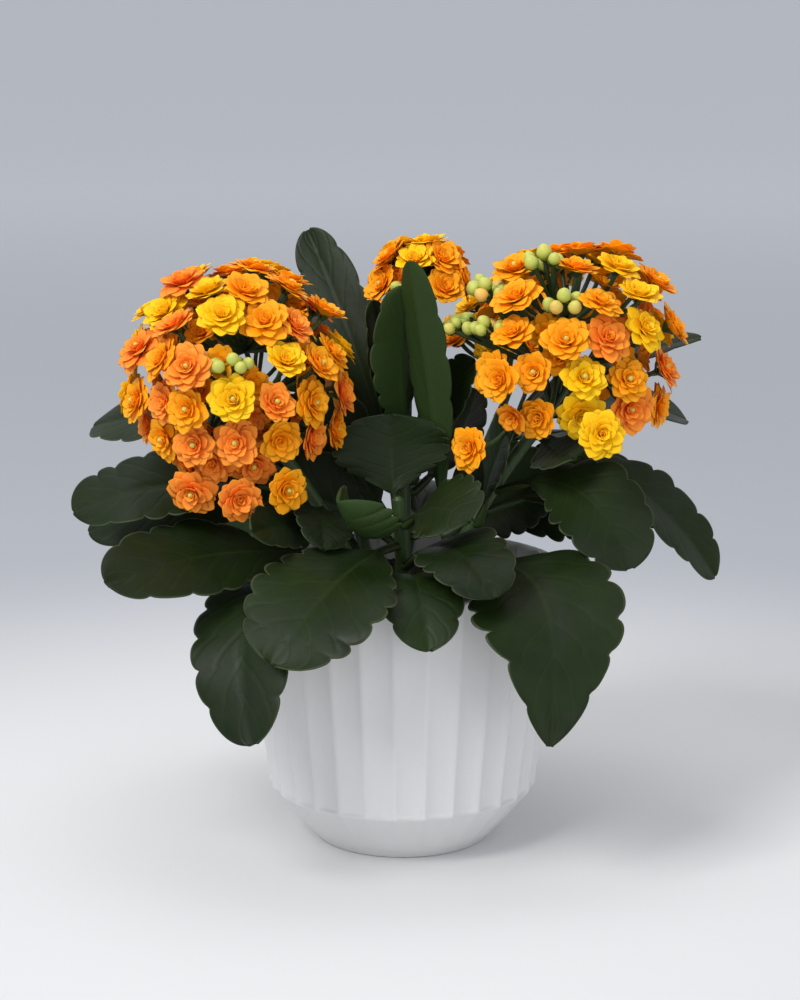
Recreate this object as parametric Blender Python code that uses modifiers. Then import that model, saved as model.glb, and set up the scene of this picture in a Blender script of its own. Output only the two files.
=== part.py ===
"""Potted kalanchoe: fluted cover pot, potting soil, stems, leaves and double flower heads.

World: metres, +Z up, front faces -Y, origin on the table under the pot's centre.
All driving sizes below are in millimetres and degrees.
"""
import math
import random

import bmesh
import bpy
import numpy as np

MM = 0.001
SEED = 7
GAP = 0.4                      # air between neighbouring pieces

# Pot
FOOT_R = 38.0                  # flat ring and floor the pot stands on
WAIST = (45.0, 8.5)            # radius, height of the bend in the flared foot
EDGE = (58.0, 24.0)            # sharp lower edge of the fluted wall
RIM_Z = 118.0
WALL_SLOPE = 0.125             # radius gained per mm of height
WALL = 4.2
FLOOR = 6.0
FLUTES = 30
FLUTE_DEPTH = 1.2
FLUTE_PHASE = 3.0              # azimuth of the first arris off the front, degrees
SOIL_TOP = 107.0

# Leaves
BLADE = 1.7                    # thickness
PETIOLE = 0.18                 # share of the length that is stalk
STALK_HALF = 2.1               # half width of the stalk
TEETH = 6                      # lobes along each margin
LOBE = 0.10                    # notch depth as a share of the half width

# Blooms and buds
BLOOM_R = 9.6
BUD_R = 3.4
PEDICEL_R = 0.75
BRANCH_R = 1.25

# name: foot on the soil, bend, top, radius
STEMS = {
    "stem_left": ((-13, 0, 101), (-30, -3, 140), (-52, -8, 170), 3.0),
    "stem_right": ((14, 1, 101), (30, 0, 145), (60, -3, 182), 3.0),
    "stem_centre": ((1, 9, 101), (0, 14, 150), (2, 18, 208), 3.0),
    "stem_back_left": ((-12, 18, 101), (-20, 38, 135), (-32, 64, 172), 2.8),
    "stem_back_right": ((13, 19, 101), (28, 42, 140), (44, 66, 172), 2.8),
    "stem_front": ((0, -15, 101), (0, -22, 125), (-2, -25, 152), 2.8),
}

# name: stem, place along it, tip, rise, sway, width, roll, fold, belly
# rise bows the leaf off its chord, sway bows it sideways (+ to its left);
# roll lifts its left side; belly > 1 puts the widest place nearer the tip
LEAVES = {
    "leaf_01": ("stem_left", 0.70, (-136, -30, 147.5), 8, 0, 45, -25, 4, 1.1),
    "leaf_02": ("stem_left", 0.82, (-136, 44, 170), 12, 0, 40, -24, 4, 1.1),
    "leaf_03": ("stem_left", 0.50, (-134, 2, 132), 10, 0, 34, -36, -6, 1.1),
    "leaf_04": ("stem_left", 0.30, (-118, -73, 128), 6, 0, 43, -33, 4, 1.0),
    "leaf_05": ("stem_left", 0.12, (-59, -93, 67), 30, -16, 48, 4, 4, 1.0),
    "leaf_06": ("stem_front", 0.62, (-52, -95, 101), 12, 6, 60, -14, 4, 1.0),
    "leaf_07": ("stem_front", 0.85, (-25, -66, 160), -10, 0, 34, -20, 26, 1.1),
    "leaf_08": ("stem_front", 0.90, (-5, -11, 185), -3, 0, 50, -10, 4, 1.2),
    "leaf_09": ("stem_centre", 0.55, (0, -3, 238), -3, 0, 40, 60, 10, 1.1),
    "leaf_10": ("stem_centre", 0.60, (-13, 4, 231), 0, 0, 24, -66, 4, 1.1),
    "leaf_11": ("stem_centre", 0.46, (-42, 62, 255), 4, 0, 28, -50, 6, 1.1),
    "leaf_12": ("stem_back_left", 0.46, (-64, 38, 238), 6, 0, 20, -60, 6, 1.1),
    "leaf_13": ("stem_right", 0.24, (3, -16, 250), 2, 0, 21, 16, 14, 1.2),
    "leaf_14": ("stem_centre", 0.50, (30, 2, 206), 4, 0, 26, 60, 6, 1.1),
    "leaf_15": ("stem_back_right", 0.60, (66, 24, 192), 4, 0, 34, 20, 6, 1.1),
    "leaf_16": ("stem_right", 0.60, (93, -45, 127), 18, 0, 42, 34, 6, 1.0),
    "leaf_17": ("stem_right", 0.14, (58, -93, 66), 36, 10, 65, 12, 6, 0.85),
    "leaf_18": ("stem_right", 0.48, (114, 14, 138), 10, 0, 44, 38, 8, 1.1),
    "leaf_19": ("stem_right", 0.90, (134, 4, 112), 8, 0, 34, 38, 12, 1.1),
    "leaf_20": ("stem_back_right", 0.90, (130, 42, 210), 6, 0, 26, 14, 6, 1.0),
    "leaf_21": ("stem_centre", 0.45, (32, 24, 190), -4, 0, 40, 10, 6, 1.1),
    "leaf_22": ("stem_front", 0.20, (10, -88, 104), 18, 0, 36, 4, 8, 1.1),
    "leaf_23": ("stem_left", 0.40, (-60, -67, 147), 4, 0, 23, -52, 8, 1.1),
    "leaf_24": ("stem_left", 0.58, (-32, -56, 138), 6, 0, 26, -20, 6, 1.1),
    "leaf_25": ("stem_front", 0.45, (36, -82, 124), 14, 0, 38, 16, 6, 1.1),
    "leaf_26": ("stem_right", 0.92, (70, -38, 172), -2, 0, 28, 30, 8, 1.1),
    "leaf_27": ("stem_front", 0.80, (27, -59, 150), 6, 0, 36, 40, 8, 1.1),
    "leaf_28": ("stem_back_left", 0.26, (-112, 76, 128), 20, 0, 52, -8, 6, 1.0),
    "leaf_29": ("stem_back_left", 0.16, (-70, 110, 94), 34, 0, 54, 4, 6, 1.0),
    "leaf_30": ("stem_centre", 0.16, (26, 126, 94), 34, 0, 54, 0, 6, 1.0),
    "leaf_31": ("stem_back_right", 0.34, (116, 78, 126), 20, 0, 52, 8, 6, 1.0),
    "leaf_32": ("stem_back_right", 0.72, (86, 108, 146), 12, 0, 42, 0, 6, 1.1),
    "leaf_33": ("stem_centre", 0.34, (-14, 116, 158), 14, 0, 40, 0, 6, 1.1),
    "leaf_34": ("stem_back_right", 0.80, (128, 70, 168), 14, 0, 42, 14, 6, 1.1),
    "leaf_35": ("stem_centre", 0.30, (-50, 27, 184), 4, 0, 44, -76, 6, 1.1),
    "leaf_36": ("stem_right", 0.42, (46, -24, 188), 2, 0, 28, 70, 6, 1.1),
    "leaf_37": ("stem_back_right", 0.30, (96, 31, 150), 4, 0, 46, 66, 6, 1.1),
    "leaf_38": ("stem_centre", 0.24, (-66, 10, 150), 6, 0, 42, -78, 6, 1.1),
    "leaf_39": ("stem_centre", 0.27, (66, 20, 150), 6, 0, 42, 76, 6, 1.1),
}

# name: stem, dome centre, shell radii, rings of (elevation, first azimuth, step, codes),
# strays of (code, place) on stalks of their own
# codes: Y yellow, O orange, P peach bloom; b bud group; - left empty
HEADS = {
    "head_left": ("stem_left", (-68, -17, 203), (44, 43, 45), (
        (84, 0, 0, "O"),
        (60, 15, 45, "OYOYPYOO"),
        (37, 0, 29, "OPOYOOYYPYOP"),
        (14, 10, 24, "YPOOYYOYPOPbYOO"),
        (-8, 176, 24, "YOPOYPOPO"),
        (-29, 190, 27, "POPPOPO"),
        (-50, 218, 34, "PPP")), (
        ("P", (-86, -42, 158)), ("P", (-66, -50, 157)), ("O", (-47, -46, 160)))),
    "head_right": ("stem_right", (69, -3, 212), (45, 40, 43), (
        (84, 0, 0, "O"),
        (60, 10, 45, "OYOYObOY"),
        (37, 0, 29, "OPOYOYbbObOY"),
        (14, 12, 25, "YPOYOObbbOOPYO"),
        (-9, 222, 26, "OOYOPO"),
        (-30, 246, 32, "OYPO")), (
        ("O", (39, -42, 205)), ("O", (27, -38, 176)), ("Y", (80, -50, 184)))),
    "head_centre": ("stem_centre", (8, 34, 233), (19, 18, 20), (
        (86, 0, 0, "Y"),
        (46, 20, 60, "OOYOYO"),
        (8, 30, 45, "YOYOObOO")), ()),
    "head_back_left": ("stem_back_left", (-36, 82, 200), (28, 26, 28), (
        (86, 0, 0, "O"),
        (50, 0, 60, "OYOYOO"),
        (12, 0, 40, "OYPOYOOYP")), ()),
    "head_back_right": ("stem_back_right", (48, 82, 200), (28, 26, 28), (
        (86, 0, 0, "Y"),
        (50, 30, 60, "YOOYOO"),
        (12, 10, 40, "OYOPYOYOP")), ()),
}

FINISHES = {
    "pot": ((0.86, 0.86, 0.87), 0.45),
    "soil": ((0.045, 0.03, 0.02), 0.95),
    "stem": ((0.12, 0.22, 0.06), 0.55),
    "leaf": ((0.03, 0.07, 0.025), 0.38),
    "head": ((0.95, 0.36, 0.02), 0.6),
}


# ---------------------------------------------------------------- shapes as formulas
def stem_point(name, t):
    """Point on a stem's centre line, t from 0 at the soil to 1 at the top."""
    foot, bend, top, _ = STEMS[name]
    a, b, c = (np.array(p, float) for p in (foot, bend, top))
    return (1 - t) ** 2 * a + 2 * t * (1 - t) * b + t * t * c


def smooth(x, low, high):
    """Smooth step from 0 at low to 1 at high."""
    u = min(max((x - low) / (high - low), 0.0), 1.0)
    return u * u * (3 - 2 * u)


def heading(azimuth, pitch):
    """Unit direction from an azimuth and a pitch above the horizon."""
    a, e = math.radians(azimuth), math.radians(pitch)
    return np.array([math.cos(a) * math.cos(e), math.sin(a) * math.cos(e), math.sin(e)])


def unit(v):
    """A vector scaled to length one."""
    return v / np.linalg.norm(v)


def leaf_spine(leaf, steps):
    """Midrib points with side and normal directions, from stalk to tip."""
    stem, place, tip, rise, sway, _, roll, _, _ = leaf
    tip = np.array(tip, float)
    root = stem_point(stem, place)
    level = tip - root
    level[2] = 0.0
    root = root + unit(level) * (STEMS[stem][3] + 2 * GAP + BLADE / 2)
    chord = unit(tip - root)
    left = unit(np.cross([0.0, 0.0, 1.0], chord))
    bow = (root + tip) / 2 + np.cross(chord, left) * rise * 2 + left * sway * 2
    frames = []
    for i in range(steps + 1):
        t = i / steps
        point = (1 - t) ** 2 * root + 2 * t * (1 - t) * bow + t * t * tip
        along = unit((1 - t) * (bow - root) + t * (tip - bow))
        side = unit(left - along * np.dot(left, along))
        up = np.cross(along, side)
        r = math.radians(roll) * smooth(t, 0.0, PETIOLE)
        frames.append((point, side * math.cos(r) + up * math.sin(r),
                       up * math.cos(r) - side * math.sin(r)))
    return frames


def half_width(leaf, t):
    """Half width of the blade at t, without the lobes."""
    width, belly = leaf[5], leaf[8]
    u = max((t - PETIOLE) / (1 - PETIOLE), 0.0)
    q = abs(2 * u ** belly - 1)
    body = max(1 - q ** 2.3, 0.0) ** (1 / 2.3) * width / 2 * (0.45 + 0.55 * smooth(u, 0, 0.5))
    return max(body, STALK_HALF)


def leaf_point(leaf, frame, t, across, lobe):
    """Surface point; across runs -1..1 over the blade, lobe trims the margin."""
    point, side, up = frame
    fold = math.radians(leaf[7])
    reach = half_width(leaf, t) * (1 - LOBE * lobe * smooth(t, PETIOLE, PETIOLE + 0.15))
    return point + (side * across * math.cos(fold) + up * abs(across) * math.sin(fold)) * reach


def head_blooms(name):
    """Every bloom and bud of a head as (kind, base point, outward axis)."""
    _, centre, radii, rings, strays = HEADS[name]
    rng = random.Random(SEED + len(name) * 31 + ord(name[-1]))
    found = []
    for elevation, first, step, codes in rings:
        for k, code in enumerate(codes):
            azimuth = first + step * k + rng.uniform(-4, 4)
            direction = heading(azimuth, elevation + rng.uniform(-4, 4))
            spot = np.array(centre) + direction * np.array(radii) * rng.uniform(0.95, 1.04)
            axis = direction + np.array([0, 0, 0.45])
            if code != "-":
                found.append((code, spot, unit(axis)))
    for code, spot in strays:
        outward = unit(np.array(spot, float) - np.array(centre)) + np.array([0, -0.2, 0.6])
        found.append((code, np.array(spot, float), unit(outward)))
    return found


# ---------------------------------------------------------------- Blender helpers
def clear_scene():
    """Remove whatever the file starts with."""
    for thing in list(bpy.data.objects):
        bpy.data.objects.remove(thing, do_unlink=True)


def new_collection(name):
    """A collection linked to the scene."""
    group = bpy.data.collections.new(name)
    bpy.context.scene.collection.children.link(group)
    return group


def add_mesh(name, bm, group):
    """Turn a bmesh given in millimetres into an object given in metres."""
    bmesh.ops.recalc_face_normals(bm, faces=bm.faces)
    bmesh.ops.scale(bm, vec=(MM, MM, MM), verts=bm.verts)
    mesh = bpy.data.meshes.new(name)
    bm.to_mesh(mesh)
    bm.free()
    thing = bpy.data.objects.new(name, mesh)
    group.objects.link(thing)
    return thing


def finish_material(thing, finish):
    """Give a piece its own Principled material."""
    colour, roughness = FINISHES[finish]
    material = bpy.data.materials.new(thing.name)
    material.use_nodes = True
    shader = material.node_tree.nodes["Principled BSDF"]
    shader.inputs["Base Color"].default_value = (*colour, 1.0)
    shader.inputs["Roughness"].default_value = roughness
    thing.data.materials.clear()
    thing.data.materials.append(material)


def bake(thing, group):
    """Replace an object by a plain mesh with its modifiers worked in."""
    graph = bpy.context.evaluated_depsgraph_get()
    mesh = bpy.data.meshes.new_from_object(thing.evaluated_get(graph))
    name = thing.name
    bpy.data.objects.remove(thing, do_unlink=True)
    mesh.name = name
    solid = bpy.data.objects.new(name, mesh)
    group.objects.link(solid)
    return solid


def face_outward(thing):
    """Weld coincident corners and turn every face outward."""
    bm = bmesh.new()
    bm.from_mesh(thing.data)
    bmesh.ops.remove_doubles(bm, verts=bm.verts, dist=0.000001)
    bmesh.ops.recalc_face_normals(bm, faces=bm.faces)
    bm.to_mesh(thing.data)
    bm.free()


def combine(thing, others, operation, group):
    """Exact Boolean of an object with a list of cutters or additions, one mesh out."""
    for other in others:
        step = thing.modifiers.new("cut", "BOOLEAN")
        step.operation = operation
        step.solver = "EXACT"
        step.object = other
    return bake(thing, group)


def lathe(name, profile, steps, group):
    """Solid of revolution from a profile of (radius, height) in millimetres."""
    bm = bmesh.new()
    verts = [bm.verts.new((r, 0, z)) for r, z in profile]
    for a, b in zip(verts, verts[1:]):
        bm.edges.new((a, b))
    bmesh.ops.scale(bm, vec=(MM, MM, MM), verts=bm.verts)
    mesh = bpy.data.meshes.new(name)
    bm.to_mesh(mesh)
    bm.free()
    thing = bpy.data.objects.new(name, mesh)
    group.objects.link(thing)
    screw = thing.modifiers.new("turn", "SCREW")
    screw.steps = screw.render_steps = steps
    screw.use_merge_vertices = True
    screw.merge_threshold = 0.00001
    solid = bake(thing, group)
    face_outward(solid)
    return solid


def add_rod(bm, start, end, r_start, r_end, sides, crown=None):
    """A closed tapered rod between two points; crown (height, radius) adds a step on top."""
    start, end = np.array(start, float), np.array(end, float)
    axis = (end - start) / np.linalg.norm(end - start)
    side = np.cross(axis, [0, 0, 1] if abs(axis[2]) < 0.9 else [1, 0, 0])
    side /= np.linalg.norm(side)
    other = np.cross(axis, side)
    middle = (start + end) / 2
    made = bmesh.ops.create_cone(bm, cap_ends=True, cap_tris=False, segments=sides,
                                 radius1=r_start, radius2=r_end, depth=np.linalg.norm(end - start))
    verts = list(made["verts"])
    if crown:
        lid = max(bm.faces, key=lambda f: f.calc_center_median().z)
        raised = bmesh.ops.extrude_discrete_faces(bm, faces=[lid])["faces"][0]
        for vert in raised.verts:
            vert.co.x *= crown[1] / r_end
            vert.co.y *= crown[1] / r_end
            vert.co.z += crown[0]
        verts += list(raised.verts)
    for vert in verts:
        x, y, z = vert.co
        vert.co = middle + side * x + other * y + axis * z


# ---------------------------------------------------------------- pieces
def outer_radius(z):
    """Pot's outside radius on the arrises at a height on the wall."""
    return EDGE[0] + WALL_SLOPE * (z - EDGE[1])


def build_pot(group):
    """Lathed pot; every second column of the wall is drawn in to leave the flutes."""
    top = outer_radius(RIM_Z)
    profile = [(0, 0), (FOOT_R, 0), WAIST, EDGE, (outer_radius(71), 71), (top, RIM_Z),
               (top - WALL, RIM_Z), (EDGE[0] - WALL + 1, EDGE[1] + 4),
               (FOOT_R - 2, FLOOR), (0, FLOOR)]
    pot = lathe("pot", profile, FLUTES * 2, group)
    half = math.pi / FLUTES
    for vert in pot.data.vertices:
        x, y, z = (c / MM for c in vert.co)
        r = math.hypot(x, y)
        if z > EDGE[1] - 0.1 and r > outer_radius(z) - 0.1:
            column = round((math.atan2(y, x)) / half)
            if column % 2:
                vert.co.x *= 1 - FLUTE_DEPTH / r
                vert.co.y *= 1 - FLUTE_DEPTH / r
    turn = math.radians(FLUTE_PHASE)
    for vert in pot.data.vertices:
        x, y = vert.co.x, vert.co.y
        vert.co.x = x * math.cos(turn) - y * math.sin(turn)
        vert.co.y = x * math.sin(turn) + y * math.cos(turn)
    finish_material(pot, "pot")
    return pot


def build_soil(group, tools):
    """Soil filling the pot, with a socket for each stem."""
    inner = outer_radius(SOIL_TOP) - WALL - 0.9
    profile = [(0, SOIL_TOP), (inner * 0.7, SOIL_TOP - 0.6), (inner, SOIL_TOP - 2.4),
               (EDGE[0] - WALL - 0.4, EDGE[1] + 5), (FOOT_R - 3.2, FLOOR + 0.5), (0, FLOOR + 0.5)]
    soil = lathe("soil", profile, 32, group)
    sockets = [build_stem(name, tools, widen=1.5 * GAP) for name in STEMS]
    soil = combine(soil, sockets, "DIFFERENCE", group)
    finish_material(soil, "soil")


def build_stem(name, group, widen=0.0):
    """Tapered stem along its bend; widen > 0 makes the cutter for its socket."""
    radius = STEMS[name][3] + widen
    label = name if not widen else name.replace("stem", "socket")
    spline = bpy.data.curves.new(label, "CURVE")
    spline.dimensions = "3D"
    spline.bevel_depth = radius * MM
    spline.bevel_resolution = 0
    spline.use_fill_caps = True
    line = spline.splines.new("POLY")
    stations = [0.0, 0.15, 0.3, 0.45, 0.6, 0.75, 0.88, 1.0] if not widen else [-0.03, 0.1, 0.2]
    line.points.add(len(stations) - 1)
    for point, t in zip(line.points, stations):
        point.co = (*(stem_point(name, t) * MM), 1)
        point.radius = 1 - 0.2 * max(t, 0)
    thing = bpy.data.objects.new(label, spline)
    group.objects.link(thing)
    stem = bake(thing, group)
    face_outward(stem)
    finish_material(stem, "stem")
    return stem


def build_leaf(name, group):
    """Crenate leaf: a grid laid along the spine, then given its thickness."""
    leaf = LEAVES[name]
    stalk = 3
    steps = stalk + 2 * TEETH
    stations = [PETIOLE * i / stalk for i in range(stalk)]
    stations += [PETIOLE + (1 - PETIOLE) * i / (2 * TEETH) for i in range(2 * TEETH + 1)]
    stations[-1] = 0.995
    frames = leaf_spine(leaf, 200)
    bm = bmesh.new()
    bmesh.ops.create_grid(bm, x_segments=2, y_segments=steps, size=1.0)
    for vert in bm.verts:
        column = round(vert.co.x)
        row = round((vert.co.y + 1) / 2 * steps)
        t = stations[row]
        lobe = 1 if (row - stalk) % 2 == 0 and row > stalk else 0
        spot = leaf_point(leaf, frames[round(t * 200)], t, column, lobe)
        vert.co = spot
    thing = add_mesh(name, bm, group)
    thick = thing.modifiers.new("thickness", "SOLIDIFY")
    thick.thickness = BLADE * MM
    thick.offset = 0
    piece = bake(thing, group)
    finish_material(piece, "leaf")
    return piece


def build_head(name, group):
    """Branching flower head: trunk, branches, stalks, blooms and buds made one solid."""
    stem, centre, radii, _, _ = HEADS[name]
    blooms = head_blooms(name)
    root = stem_point(stem, 1.0)
    lead = root - stem_point(stem, 0.97)
    lead /= np.linalg.norm(lead)
    root = root + lead * GAP
    hub = root + lead * 5
    joints = [hub + (np.array(centre) + heading(60 * k + 15, 10) * np.array(radii) * 0.42 - hub) * 0.7
              for k in range(6)]
    joints.append(hub + (np.array(centre) + np.array([0, 0, radii[2] * 0.5]) - hub) * 0.75)
    used = {}
    for code, spot, axis in blooms:
        nearest = min(range(len(joints)), key=lambda i: np.linalg.norm(joints[i] - spot))
        used.setdefault(nearest, []).append((code, spot, axis))
    parts = []

    def part(start, end, r_start, r_end, sides, crown=None):
        bm = bmesh.new()
        add_rod(bm, start, end, r_start, r_end, sides, crown)
        parts.append(add_mesh(name + "_part", bm, group))

    part(root, hub + lead * 1.0, 2.2, 2.0, 6)
    for joint, served in used.items():
        part(hub, joints[joint], BRANCH_R, BRANCH_R * 0.8, 5)
        for code, spot, axis in served:
            if code == "b":
                for turn in range(3):
                    lean = heading(120 * turn + 20, 0) * 5.0 + axis * (2.5 - 2.5 * (turn % 2))
                    part(joints[joint] - axis * 0.4, spot + lean, PEDICEL_R, PEDICEL_R, 3)
                    part(spot + lean - axis * 2.6, spot + lean + axis * 1.0, 1.4, BUD_R, 5, (3.0, 1.4))
            else:
                part(joints[joint] - axis * 0.4, spot - axis * 4.6, PEDICEL_R, PEDICEL_R, 3)
                part(spot - axis * 5.6, spot, 1.9, BLOOM_R, 6, (4.0, BLOOM_R * 0.5))
    first, rest = parts[0], parts[1:]
    extras = bpy.data.collections.new(name + "_parts")
    for thing in rest:
        group.objects.unlink(thing)
        extras.objects.link(thing)
    join = first.modifiers.new("join", "BOOLEAN")
    join.operation = "UNION"
    join.solver = "EXACT"
    join.use_self = True
    join.operand_type = "COLLECTION"
    join.collection = extras
    first.name = name
    solid = bake(first, group)
    solid.name = name
    for thing in rest:
        bpy.data.objects.remove(thing, do_unlink=True)
    bpy.data.collections.remove(extras)
    finish_material(solid, "head")
    return solid


def main():
    """Build every piece of the plant and its pot."""
    clear_scene()
    group = new_collection("potted_kalanchoe")
    tools = new_collection("cutters")
    build_pot(group)
    build_soil(group, tools)
    for name in STEMS:
        build_stem(name, group)
    for name in LEAVES:
        build_leaf(name, group)
    for name in HEADS:
        build_head(name, group)
    for tool in tools.objects:
        tool.hide_render = True
        tool.display_type = "WIRE"


main()
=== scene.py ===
"""Potted kalanchoe: looks for the fluted pot, soil, stems, crenate leaves and double blooms.

Lengths are millimetres until a mesh is made; the front of the plant faces -Y.
"""

import logging
import math
import random
from dataclasses import dataclass, field
from enum import Enum
from typing import Callable, Iterable, Optional, Sequence, Union

import bmesh
import bpy
import numpy as np
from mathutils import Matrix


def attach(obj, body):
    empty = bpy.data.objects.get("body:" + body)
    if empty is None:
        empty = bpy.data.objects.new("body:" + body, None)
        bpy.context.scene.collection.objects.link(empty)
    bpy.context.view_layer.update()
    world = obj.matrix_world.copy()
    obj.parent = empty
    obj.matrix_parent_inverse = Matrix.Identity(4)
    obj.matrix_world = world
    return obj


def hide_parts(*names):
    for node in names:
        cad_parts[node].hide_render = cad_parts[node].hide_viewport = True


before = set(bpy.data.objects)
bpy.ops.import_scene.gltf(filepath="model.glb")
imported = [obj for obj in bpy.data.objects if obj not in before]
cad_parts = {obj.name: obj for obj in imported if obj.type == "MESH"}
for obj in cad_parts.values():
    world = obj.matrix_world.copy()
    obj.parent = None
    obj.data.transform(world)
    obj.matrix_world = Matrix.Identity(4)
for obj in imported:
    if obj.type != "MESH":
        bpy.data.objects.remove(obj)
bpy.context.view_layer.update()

log = logging.getLogger("kalanchoe")
MM = 0.001
SEED = 7
GOLDEN_ANGLE = math.pi * (3 - math.sqrt(5))
CUP_FOLD = 20                  # a leaf folded by more degrees than this is a cupped young one
POINTED_BELLY = 0.9            # a leaf with a belly up to this has a pointed end

Array = np.ndarray
Socket = bpy.types.NodeSocket


class Slot(Enum):
    """The record's material slots."""

    POT = "pot"
    SOIL = "soil"
    STEM = "stem"
    LEAF = "leaf"
    BLOOM = "bloom"


class Code(Enum):
    """What stands at a place on a flower head."""

    YELLOW = "Y"
    ORANGE = "O"
    PEACH = "P"
    BUDS = "b"


TINTS = {Code.YELLOW: 0.0, Code.ORANGE: 0.5, Code.PEACH: 1.0, Code.BUDS: 0.0}


# ------------------------------------------------------------------ node graphs
class Val:
    """A number or vector socket that takes part in Python arithmetic."""

    def __init__(self, graph: "Graph", socket: Socket) -> None:
        """Wrap a socket of a graph."""
        self.graph = graph
        self.socket = socket

    def _join(self, operation: str, *values: "Operand", clamp: bool = False) -> "Val":
        """Add a Math node, or a Vector Math node where a value is a vector.

        Args:
            operation: the node's operation.
            values: its inputs in order.
            clamp: hold a number between 0 and 1.

        Returns:
            The result.
        """
        vector = any(isinstance(v, Val) and v.socket.type == "VECTOR" for v in values)
        if vector:
            values = tuple(v if isinstance(v, (Val, tuple)) else (v, v, v) for v in values)
        kind = "ShaderNodeVectorMath" if vector else "ShaderNodeMath"
        settings = {"operation": operation}
        if clamp:
            settings["use_clamp"] = True
        node = self.graph.node(kind, settings, dict(enumerate(values)))
        scalar = operation in ("DOT_PRODUCT", "LENGTH")
        return Val(self.graph, node.outputs[1 if scalar else 0])

    def __add__(self, other: "Operand") -> "Val":
        """Sum."""
        return self._join("ADD", self, other)

    def __radd__(self, other: "Operand") -> "Val":
        """Sum, reflected."""
        return self._join("ADD", other, self)

    def __sub__(self, other: "Operand") -> "Val":
        """Difference."""
        return self._join("SUBTRACT", self, other)

    def __rsub__(self, other: "Operand") -> "Val":
        """Difference, reflected."""
        return self._join("SUBTRACT", other, self)

    def __mul__(self, other: "Operand") -> "Val":
        """Product."""
        return self._join("MULTIPLY", self, other)

    def __rmul__(self, other: "Operand") -> "Val":
        """Product, reflected."""
        return self._join("MULTIPLY", other, self)

    def __truediv__(self, other: "Operand") -> "Val":
        """Quotient."""
        return self._join("DIVIDE", self, other)

    def __rtruediv__(self, other: "Operand") -> "Val":
        """Quotient, reflected."""
        return self._join("DIVIDE", other, self)

    def __pow__(self, other: "Operand") -> "Val":
        """Power."""
        return self._join("POWER", self, other)

    def sin(self) -> "Val":
        """Sine of an angle in radians."""
        return self._join("SINE", self)

    def cos(self) -> "Val":
        """Cosine of an angle in radians."""
        return self._join("COSINE", self)

    def abs(self) -> "Val":
        """Absolute value."""
        return self._join("ABSOLUTE", self)

    def fract(self) -> "Val":
        """Fractional part."""
        return self._join("FRACT", self)

    def root(self) -> "Val":
        """Square root."""
        return self._join("SQRT", self)

    def turn(self, x: "Operand") -> "Val":
        """Angle of the point whose Y this is, from its X."""
        return self._join("ARCTAN2", self, x)

    def clamp(self) -> "Val":
        """Held between 0 and 1."""
        return self._join("ADD", self, 0.0, clamp=True)

    def at_least(self, low: float) -> "Val":
        """Held at or above a value."""
        return self._join("MAXIMUM", self, low)

    def cross(self, other: "Operand") -> "Val":
        """Cross product."""
        return self._join("CROSS_PRODUCT", self, other)

    def vector(self, y: "Operand", z: "Operand") -> "Val":
        """Vector of this, Y and Z."""
        node = self.graph.node("ShaderNodeCombineXYZ", None, {0: self, 1: y, 2: z})
        return Val(self.graph, node.outputs[0])

    def unit(self) -> "Val":
        """Vector of length one."""
        return self._join("NORMALIZE", self)

    def split(self) -> tuple["Val", "Val", "Val"]:
        """The X, Y and Z of a vector."""
        node = self.graph.node("ShaderNodeSeparateXYZ", None, {0: self})
        return tuple(Val(self.graph, node.outputs[i]) for i in range(3))

    def ramp(self, low: float, high: float) -> "Val":
        """Smooth step from 0 at low to 1 at high; low may be above high."""
        node = self.graph.node("ShaderNodeMapRange", {"interpolation_type": "SMOOTHSTEP"},
                               {"Value": self, "From Min": min(low, high),
                                "From Max": max(low, high)})
        step = Val(self.graph, node.outputs[0])
        return step if low < high else 1 - step


Operand = Union[Val, float, tuple]


class Graph:
    """A node tree with one way to add nodes."""

    def __init__(self, tree: bpy.types.NodeTree) -> None:
        """Start from an empty tree."""
        self.tree = tree
        tree.nodes.clear()

    def node(self, kind: str, settings: Optional[dict] = None,
             values: Optional[dict] = None) -> bpy.types.Node:
        """Add a node.

        Args:
            kind: the node's type name.
            settings: attributes of the node, set before its sockets.
            values: socket name or number to a constant, a Val or a socket.

        Returns:
            The new node.
        """
        made = self.tree.nodes.new(kind)
        for key, value in (settings or {}).items():
            setattr(made, key, value)
        for key, value in (values or {}).items():
            socket = made.inputs[key]
            if isinstance(value, Val):
                self.tree.links.new(value.socket, socket)
            elif isinstance(value, bpy.types.NodeSocket):
                self.tree.links.new(value, socket)
            else:
                socket.default_value = value
        return made

    def val(self, kind: str, settings: Optional[dict] = None, values: Optional[dict] = None,
            output: Union[int, str] = 0) -> Val:
        """Add a node and wrap one of its outputs."""
        return Val(self, self.node(kind, settings, values).outputs[output])


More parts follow.
